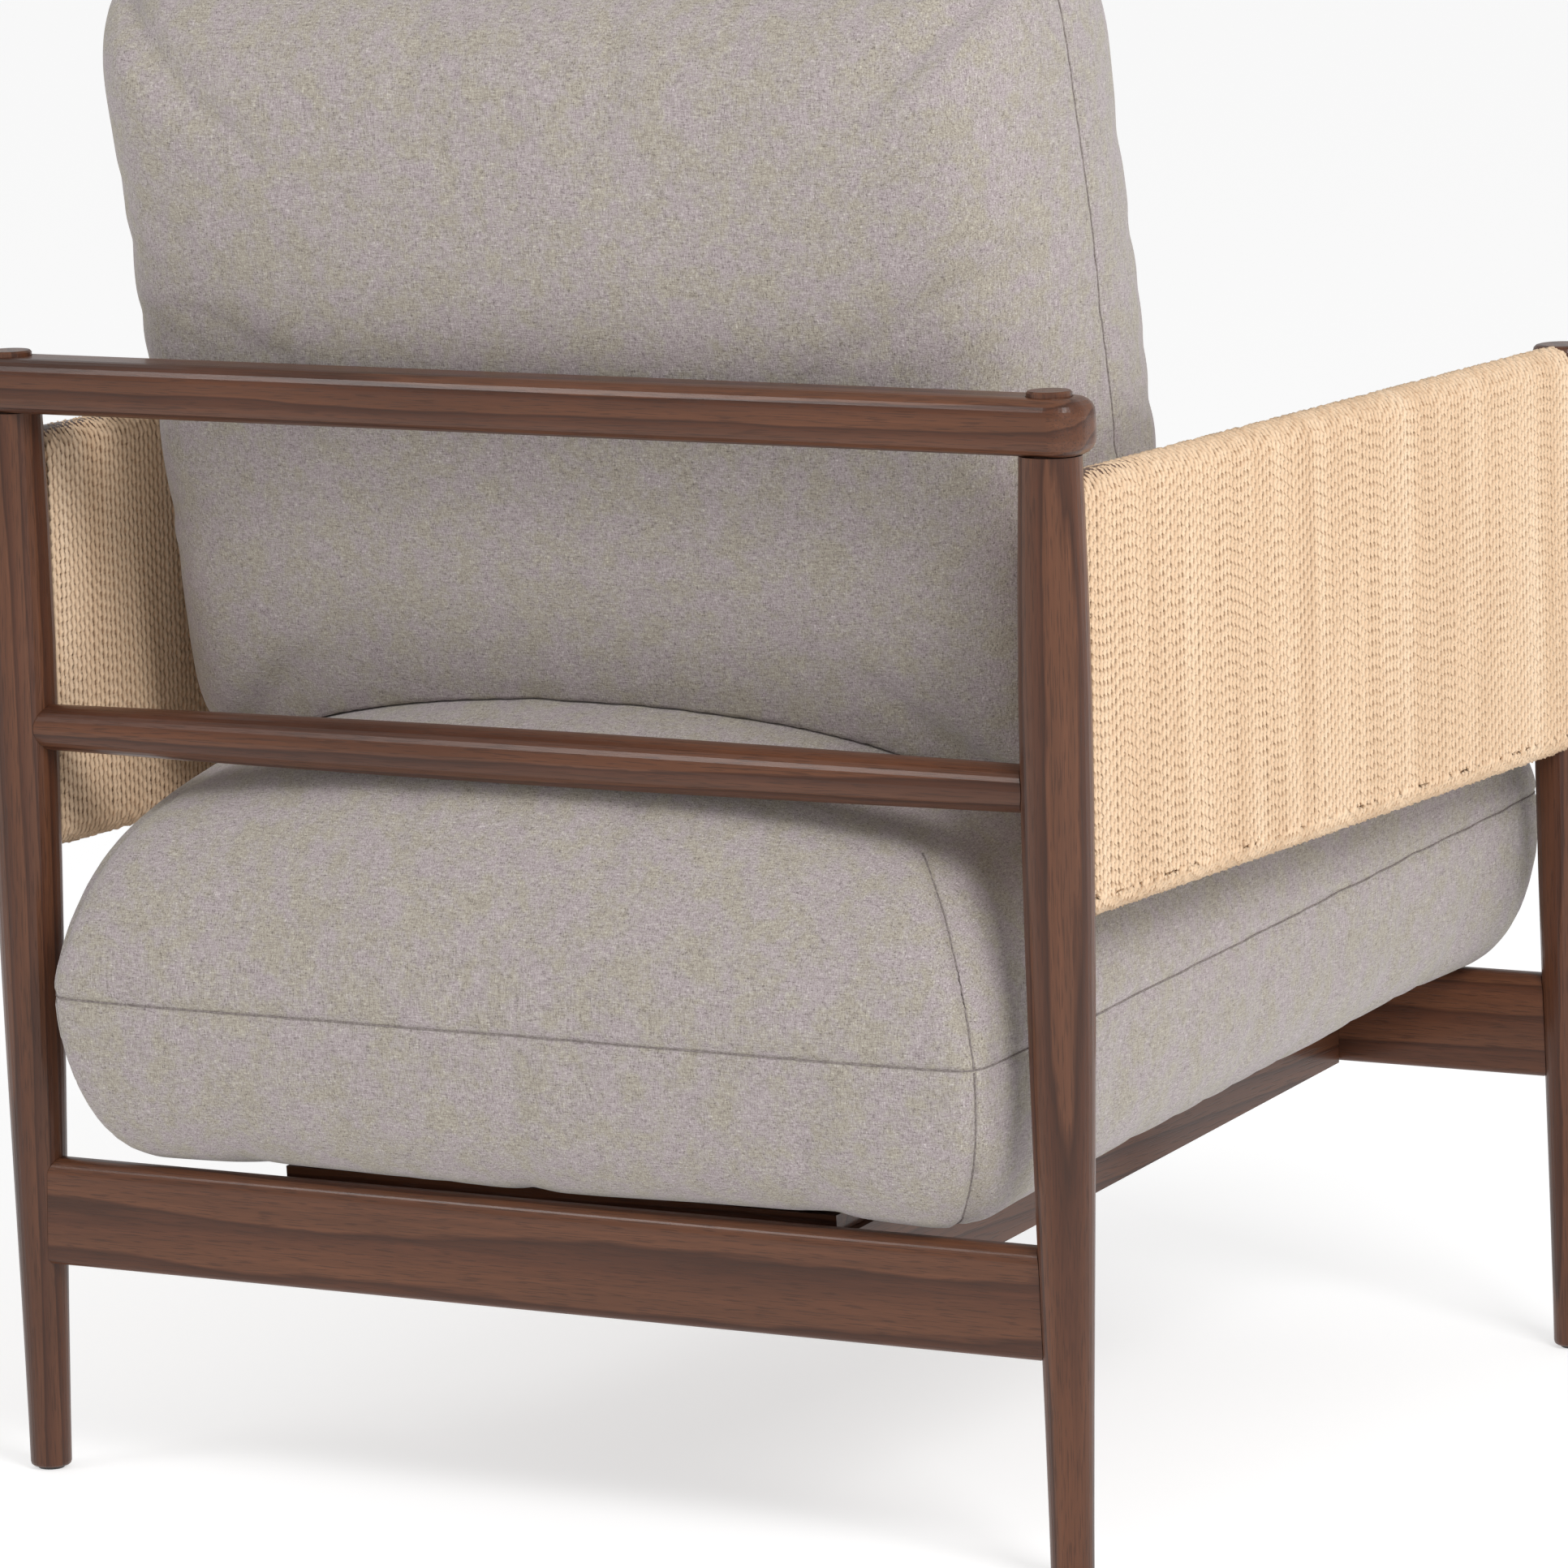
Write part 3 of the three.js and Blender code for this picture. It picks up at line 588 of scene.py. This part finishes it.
def coordinates_of(piece):
    points = np.empty(len(piece.data.vertices) * 3)
    piece.data.vertices.foreach_get("co", points)
    return points.reshape(-1, 3)


def move_to(piece, points):
    piece.data.vertices.foreach_set("co", np.asarray(points, dtype=np.float32).ravel())
    piece.data.update()


def normals_of(piece):
    values = np.empty(len(piece.data.vertices) * 3)
    piece.data.vertex_normals.foreach_get("vector", values)
    return values.reshape(-1, 3)


def spread(piece, field):
    """The slow part of a field over a mesh. Each round takes a point halfway to its neighbours' mean."""
    ends = np.empty(len(piece.data.edges) * 2, dtype=np.int32)
    piece.data.edges.foreach_get("vertices", ends)
    a, b = ends[0::2], ends[1::2]
    count = len(field)
    neighbours = np.bincount(a, minlength=count) + np.bincount(b, minlength=count)
    for _ in range(SPREAD_ROUNDS):
        mean = np.empty_like(field)
        for k in range(3):
            mean[:, k] = np.bincount(a, field[b, k], count) + np.bincount(b, field[a, k], count)
        field = (field + mean / neighbours[:, None]) / 2
    return field


def blown(piece):
    """Where the points of a cloth cover go when it is blown up from inside for a few frames."""
    modifier = piece.modifiers.new("cloth", "CLOTH")
    settings = modifier.settings
    settings.quality = 5
    settings.mass = 0.25
    settings.tension_stiffness = 12
    settings.compression_stiffness = 12
    settings.bending_stiffness = 0.6
    settings.use_pressure = True
    settings.uniform_pressure_force = PRESSURE
    settings.effector_weights.gravity = 0
    modifier.collision_settings.use_collision = False
    modifier.collision_settings.use_self_collision = False
    modifier.point_cache.frame_start = 1
    modifier.point_cache.frame_end = FRAMES
    for number in range(1, FRAMES + 1):
        scene.frame_set(number)
    graph = bpy.context.evaluated_depsgraph_get()
    cloth = piece.evaluated_get(graph).to_mesh()
    after = np.empty(len(cloth.vertices) * 3)
    cloth.vertices.foreach_get("co", after)
    piece.evaluated_get(graph).to_mesh_clear()
    piece.modifiers.clear()
    scene.frame_set(1)
    return after.reshape(-1, 3)


def simulate(piece, filling, creases):
    """Blows the cover up as cloth. The filling holds its size, and only a share of the creases is kept."""
    before = np.array([filling.find_nearest(p)[0] for p in coordinates_of(piece)])
    move_to(piece, before)
    travel = blown(piece) - before
    travel = (travel - spread(piece, travel)) * creases
    length = np.linalg.norm(travel, axis=1, keepdims=True)
    move_to(piece, before + travel * np.minimum(1, CREASE_CAP / np.maximum(length, 1e-9)))


def soften(points, seed):
    """A slow uneven swell, as wadding under cloth has."""
    shift = Vector((seed, seed * 0.7, seed * 1.3))
    return np.array([noise.noise(Vector(p) * SWELL_SCALE + shift) for p in points]) * SWELL


def groove(points, normals, paths):
    """Draws the cloth in along its seams."""
    tree = KDTree(sum(len(path) for path, _ in paths))
    number = 0
    for path, _ in paths:
        for point in path:
            tree.insert(point, number)
            number += 1
    tree.balance()
    distance = np.array([tree.find(p)[2] for p in points])
    pull = GROOVE_DEPTH * np.maximum(0, 1 - (distance / GROOVE_WIDTH) ** 2) ** 2
    return points - normals * pull[:, None]


def settle_on(surface, paths):
    """Puts seam points on the finished surface, and evens out the line that they make."""
    settled = []
    for path, closed in paths:
        found = np.array([surface.find_nearest(p)[0] for p in path])
        for _ in range(SEAM_SMOOTHING):
            ahead, behind = np.roll(found, -1, axis=0), np.roll(found, 1, axis=0)
            even = (found * 2 + ahead + behind) / 4
            if not closed:
                even[0], even[-1] = found[0], found[-1]
            found = even
        lifted = []
        for point in found:
            place, normal, _, _ = surface.find_nearest(point)
            lifted.append(place + normal * SEAM_LIFT)
        settled.append((np.array(lifted), closed))
    return settled


def seam_piece(name, paths):
    # The tubes carry the seam material, whose dark colour is painted shade of the seams' grooves.
    parts = []
    for path, closed in paths:
        points, rows = tube_points(path, SEAM_RADIUS, SEAM_SEGMENTS, closed)
        parts.append(grid_object(name + "_part", rows, SEAM_SEGMENTS, points, SEAM_SHADE, caps=not closed))
    for part in parts:
        part.select_set(True)
    bpy.context.view_layer.objects.active = parts[0]
    bpy.ops.object.join()
    joined = bpy.context.view_layer.objects.active
    joined.name = name
    joined.data.name = name
    joined.select_set(False)
    return joined


def make_cushion(name, form, matrix, creases):
    bpy.ops.object.select_all(action="DESELECT")
    piece = cushion_mesh(name, form, matrix)
    filling = BVHTree.FromObject(piece, bpy.context.evaluated_depsgraph_get())
    remesh(piece)
    simulate(piece, filling, creases)
    return piece


def finished(piece, paths, seed):
    """The points of a cushion with its swell and its seams' grooves, and the seams' paths on it."""
    subdivision = piece.modifiers.new("subdivision", "SUBSURF")
    subdivision.levels = subdivision.render_levels = 1
    bake(piece)
    points = coordinates_of(piece)
    normals = normals_of(piece)
    surface = BVHTree.FromObject(piece, bpy.context.evaluated_depsgraph_get())
    paths = settle_on(surface, paths)
    points = points + normals * soften(points, seed)[:, None]
    return groove(points, normals, paths), paths


# Seat cushion: flat where it lies on the deck
seat = make_cushion("seat_cushion", SEAT_FORM, SEAT, SEAT_CREASES)
points, seat_paths = finished(seat, seam_paths(SEAT_FORM, SEAT, SEAT_CORNER_SEAM), SEAT_SWELL_SEED)
flat = local(points, DECK)
flat[:, 2] = np.maximum(flat[:, 2], SEAT_LIFT)
move_to(seat, placed(flat, DECK))
seat_surface = BVHTree.FromObject(seat, bpy.context.evaluated_depsgraph_get())
seat_paths = settle_on(seat_surface, seat_paths)
seat_seams = seam_piece("seat_cushion_seams", seat_paths)

# Back cushion: its lower border is pressed to the seat cushion's crown
back = make_cushion("back_cushion", BACK_FORM, BACK, BACK_CREASES)
points, back_paths = finished(back, seam_paths(BACK_FORM, BACK, 0), BACK_SWELL_SEED)
for point in points:
    if point[2] < base_z + PRESSED_HEIGHT:
        hit = seat_surface.ray_cast(Vector((point[0], point[1], OVERHEAD)), Vector((0, 0, -1)))[0]
        if hit is not None and point[2] < hit.z + PRESSED_GAP:
            point[2] = hit.z + PRESSED_GAP
move_to(back, points)
back_surface = BVHTree.FromObject(back, bpy.context.evaluated_depsgraph_get())
back_paths = settle_on(back_surface, back_paths)
back_seams = seam_piece("back_cushion_seams", back_paths)

for piece, seams, body, fill in (
    (seat, seat_seams, "seat_cushion", 0.85),
    (back, back_seams, "back_cushion", 0.8),
):
    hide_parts(body + "_cover", body + "_core", body + "_zip")
    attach(piece, body)
    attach(seams, body)

# ---------------------------------------------------------------- arm wraps
DOWEL_RADIUS = 0.010
WRAP_RADIUS = 0.0135  # outside the cord
CORD_STANDOUT = 0.0002  # of the cord's middle from halfway between the dowel and the wrap's outside
CORD_PITCH = 0.0042  # from turn to turn
CORD_LAY = 0.0134  # of one full twist of the two plies
PLY_OFFSET = 0.00098  # from the cord's middle to a ply's
PLY_RADIUS = 0.00116
PLY_WAIST = 0.8  # how deep the valley between the plies is
CORD_SEGMENTS = 6
ROWS_PER_LAY = 7

# How uneven the winding is
PHASE_STEP = 0.42 * math.pi  # from one turn's lay to the next
PHASE_SPREAD = 0.6
SLACK_SPREAD = 0.02  # of the lay's length
SWAY = 0.00016  # of a turn to and fro along the dowels
SWAY_RATE = 40
SWAY_PHASES = 6.28
LEAD_SPREAD = 0.00012  # of a whole turn along the dowels
FACE_LEAD = CORD_PITCH / 4  # of the two faces against each other, so that no gap goes right through

# A plain tube of the cord's material round each dowel, which closes the gaps between the turns
LINING_RADIUS = 0.0106
LINING_ROWS = 12
LINING_SEGMENTS = 24


def stadium_path(count, centre, half_height):
    """Points round both dowels, starting at the middle of the lower one, with their outward normals."""
    straight = 2 * half_height
    arc = math.pi * centre
    total = 2 * (straight + arc)
    distance = np.linspace(0, total, count, endpoint=False)
    x = np.empty(count)
    z = np.empty(count)
    nx = np.empty(count)
    nz = np.empty(count)
    for i, s in enumerate(distance):
        if s < straight:
            x[i], z[i], nx[i], nz[i] = centre, -half_height + s, 1, 0
        elif s < straight + arc:
            angle = (s - straight) / centre
            nx[i], nz[i] = math.cos(angle), math.sin(angle)
            x[i], z[i] = centre * nx[i], half_height + centre * nz[i]
        elif s < 2 * straight + arc:
            x[i], z[i], nx[i], nz[i] = -centre, half_height - (s - straight - arc), -1, 0
        else:
            angle = math.pi + (s - 2 * straight - arc) / centre
            nx[i], nz[i] = math.cos(angle), math.sin(angle)
            x[i], z[i] = centre * nx[i], -half_height + centre * nz[i]
    return distance, x, z, nx, nz, total


def cord_wrap(side, sign, seed):
    """One arm's cord, turn by turn and in two pieces, with its linings."""
    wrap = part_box("arm_cord_wrap_" + side)
    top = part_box("arm_top_dowel_" + side)
    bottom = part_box("arm_bottom_dowel_" + side)
    x0 = (wrap[0].x + wrap[1].x) / 2
    high = (top[0].z + top[1].z) / 2
    low = (bottom[0].z + bottom[1].z) / 2
    drop = (top[1].z - top[0].z - 2 * DOWEL_RADIUS) / (top[1].y - top[0].y)
    centre = (DOWEL_RADIUS + WRAP_RADIUS) / 2 + CORD_STANDOUT
    half_height = (high - low) / 2
    length = wrap[1].y - wrap[0].y
    turns = int(length / CORD_PITCH) - 1
    rows = int(round(2 * (2 * half_height + math.pi * centre) / CORD_LAY * ROWS_PER_LAY))
    distance, x, z, nx, nz, total = stadium_path(rows, centre, half_height)
    lays = round(total / CORD_LAY)
    angles = np.linspace(0, 2 * math.pi, CORD_SEGMENTS, endpoint=False)
    # A ring is two touching plies seen end on, and it turns as the cord's lay does.
    radius = PLY_OFFSET * np.abs(np.cos(angles)) + np.sqrt(
        PLY_RADIUS**2 - (PLY_OFFSET * np.sin(angles) * PLY_WAIST) ** 2
    )
    generator = np.random.default_rng(seed)
    pieces = []
    edges = [0, turns // 2, turns]
    middle_y = (wrap[0].y + wrap[1].y) / 2
    middle_z = (high + low) / 2
    for part, (first, last) in enumerate(zip(edges, edges[1:])):
        blocks = []
        for turn in range(first, last):
            y = wrap[0].y + (turn + 0.5) * length / turns
            phase = turn * PHASE_STEP + generator.normal(0, PHASE_SPREAD)
            slack = 1 + generator.normal(0, SLACK_SPREAD)
            twist = phase + 2 * math.pi * lays * slack * distance / total
            sway = SWAY * np.sin(distance * SWAY_RATE + generator.uniform(0, SWAY_PHASES))
            lead = sway + LEAD_SPREAD * generator.normal() + FACE_LEAD * nx
            turned = twist[:, None] + angles[None]
            out = radius[None] * np.cos(turned)
            along_y = radius[None] * np.sin(turned)
            px = x0 + sign * (x[:, None] + nx[:, None] * out)
            py = y + along_y + lead[:, None]
            pz = middle_z + z[:, None] + nz[:, None] * out - drop * (y - middle_y)
            block = np.stack([px, py, pz], axis=-1)
            block = np.concatenate([block, block[:1]])
            blocks.append(block.reshape(-1, 3))
        name = f"arm_cord_{side}_{part + 1}"
        piece = grid_object(name, rows + 1, CORD_SEGMENTS, np.concatenate(blocks), CORD, caps=False)
        weld = piece.modifiers.new("weld", "WELD")
        weld.merge_threshold = 1e-6
        pieces.append(piece)
    for level, height in (("top", high), ("bottom", low)):
        y = np.linspace(wrap[0].y, wrap[1].y, LINING_ROWS)
        path = np.stack([np.full(LINING_ROWS, x0), y, height - drop * (y - middle_y)], axis=1)
        points, rings = tube_points(path, LINING_RADIUS, LINING_SEGMENTS)
        name = f"arm_cord_lining_{side}_{level}"
        pieces.append(grid_object(name, rings, LINING_SEGMENTS, points, CORD))
    return pieces


for side, sign, seed in (("right", -1, 11), ("left", 1, 23)):
    for piece in cord_wrap(side, sign, seed):
        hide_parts("arm_cord_wrap_" + side)
        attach(piece, "frame")

# ---------------------------------------------------------------- floor, lights, camera
FLOOR = 40  # half its side
floor_mesh = bpy.data.meshes.new("floor")
floor_corners = [(-FLOOR, -FLOOR, 0), (FLOOR, -FLOOR, 0), (FLOOR, FLOOR, 0), (-FLOOR, FLOOR, 0)]
floor_mesh.from_pydata(floor_corners, [], [(0, 1, 2, 3)])
floor = bpy.data.objects.new("floor", floor_mesh)
scene.collection.objects.link(floor)
floor_mesh.materials.append(Tree("floor").set(
    Base_Color=(0.55, 0.55, 0.55),
    Roughness=1.0,
    Emission_Color=(1.0, 1.0, 1.0),
    Emission_Strength=0.60,
))

world = bpy.data.worlds.new("studio")
world.use_nodes = True
background = world.node_tree.nodes["Background"]
background.inputs["Color"].default_value = (1, 1, 1, 1)
background.inputs["Strength"].default_value = 0.58
scene.world = world


def softbox(name, location, target, size, power):
    light = bpy.data.lights.new(name, "AREA")
    light.shape = "RECTANGLE"
    light.size, light.size_y = size
    light.energy = power
    lamp = bpy.data.objects.new(name, light)
    lamp.location = location
    lamp.rotation_euler = (Vector(target) - Vector(location)).to_track_quat("-Z", "Y").to_euler()
    scene.collection.objects.link(lamp)


softbox("key", (-2.7, 1.7, 2.5), (0, 0, 0.4), (1.3, 1.3), 75)
softbox("glint", (1.6, 2.1, 2.5), (0, 0.2, 0.5), (1.1, 0.35), 12)

# The camera stands at the photograph's angle. Lengths in the picture are shares of its width.
AZIMUTH = math.radians(209.86)
ELEVATION = math.radians(9.47)
ROLL = math.radians(-1.39)
SENSOR_WIDTH = 36
FOCAL_SHARE = 5.8072464
AIM_RIGHT = 0.0201139
AIM_DOWN = 0.0621377
TARGET = Vector((0, MIDDLE_Y, 0.3))
DISTANCE = 5.09704
backward = Vector((
    math.sin(AZIMUTH) * math.cos(ELEVATION), -math.cos(AZIMUTH) * math.cos(ELEVATION), math.sin(ELEVATION),
))
level = Vector((0, 0, 1)).cross(backward).normalized()
upward = backward.cross(level)
right = math.cos(ROLL) * level + math.sin(ROLL) * upward
up = -math.sin(ROLL) * level + math.cos(ROLL) * upward
aim = (-AIM_RIGHT * right + AIM_DOWN * up - FOCAL_SHARE * backward).normalized()
away = -aim
turned_right = up.cross(away).normalized()
turned_up = away.cross(turned_right)
camera_data = bpy.data.cameras.new("camera")
camera_data.sensor_width = SENSOR_WIDTH
camera_data.lens = SENSOR_WIDTH * FOCAL_SHARE
camera_data.clip_end = 200
camera = bpy.data.objects.new("camera", camera_data)
rotation = Matrix((turned_right, turned_up, away)).transposed().to_4x4()
camera.matrix_world = Matrix.Translation(TARGET + backward * DISTANCE) @ rotation
scene.collection.objects.link(camera)
scene.camera = camera
scene.view_settings.view_transform = "Standard"
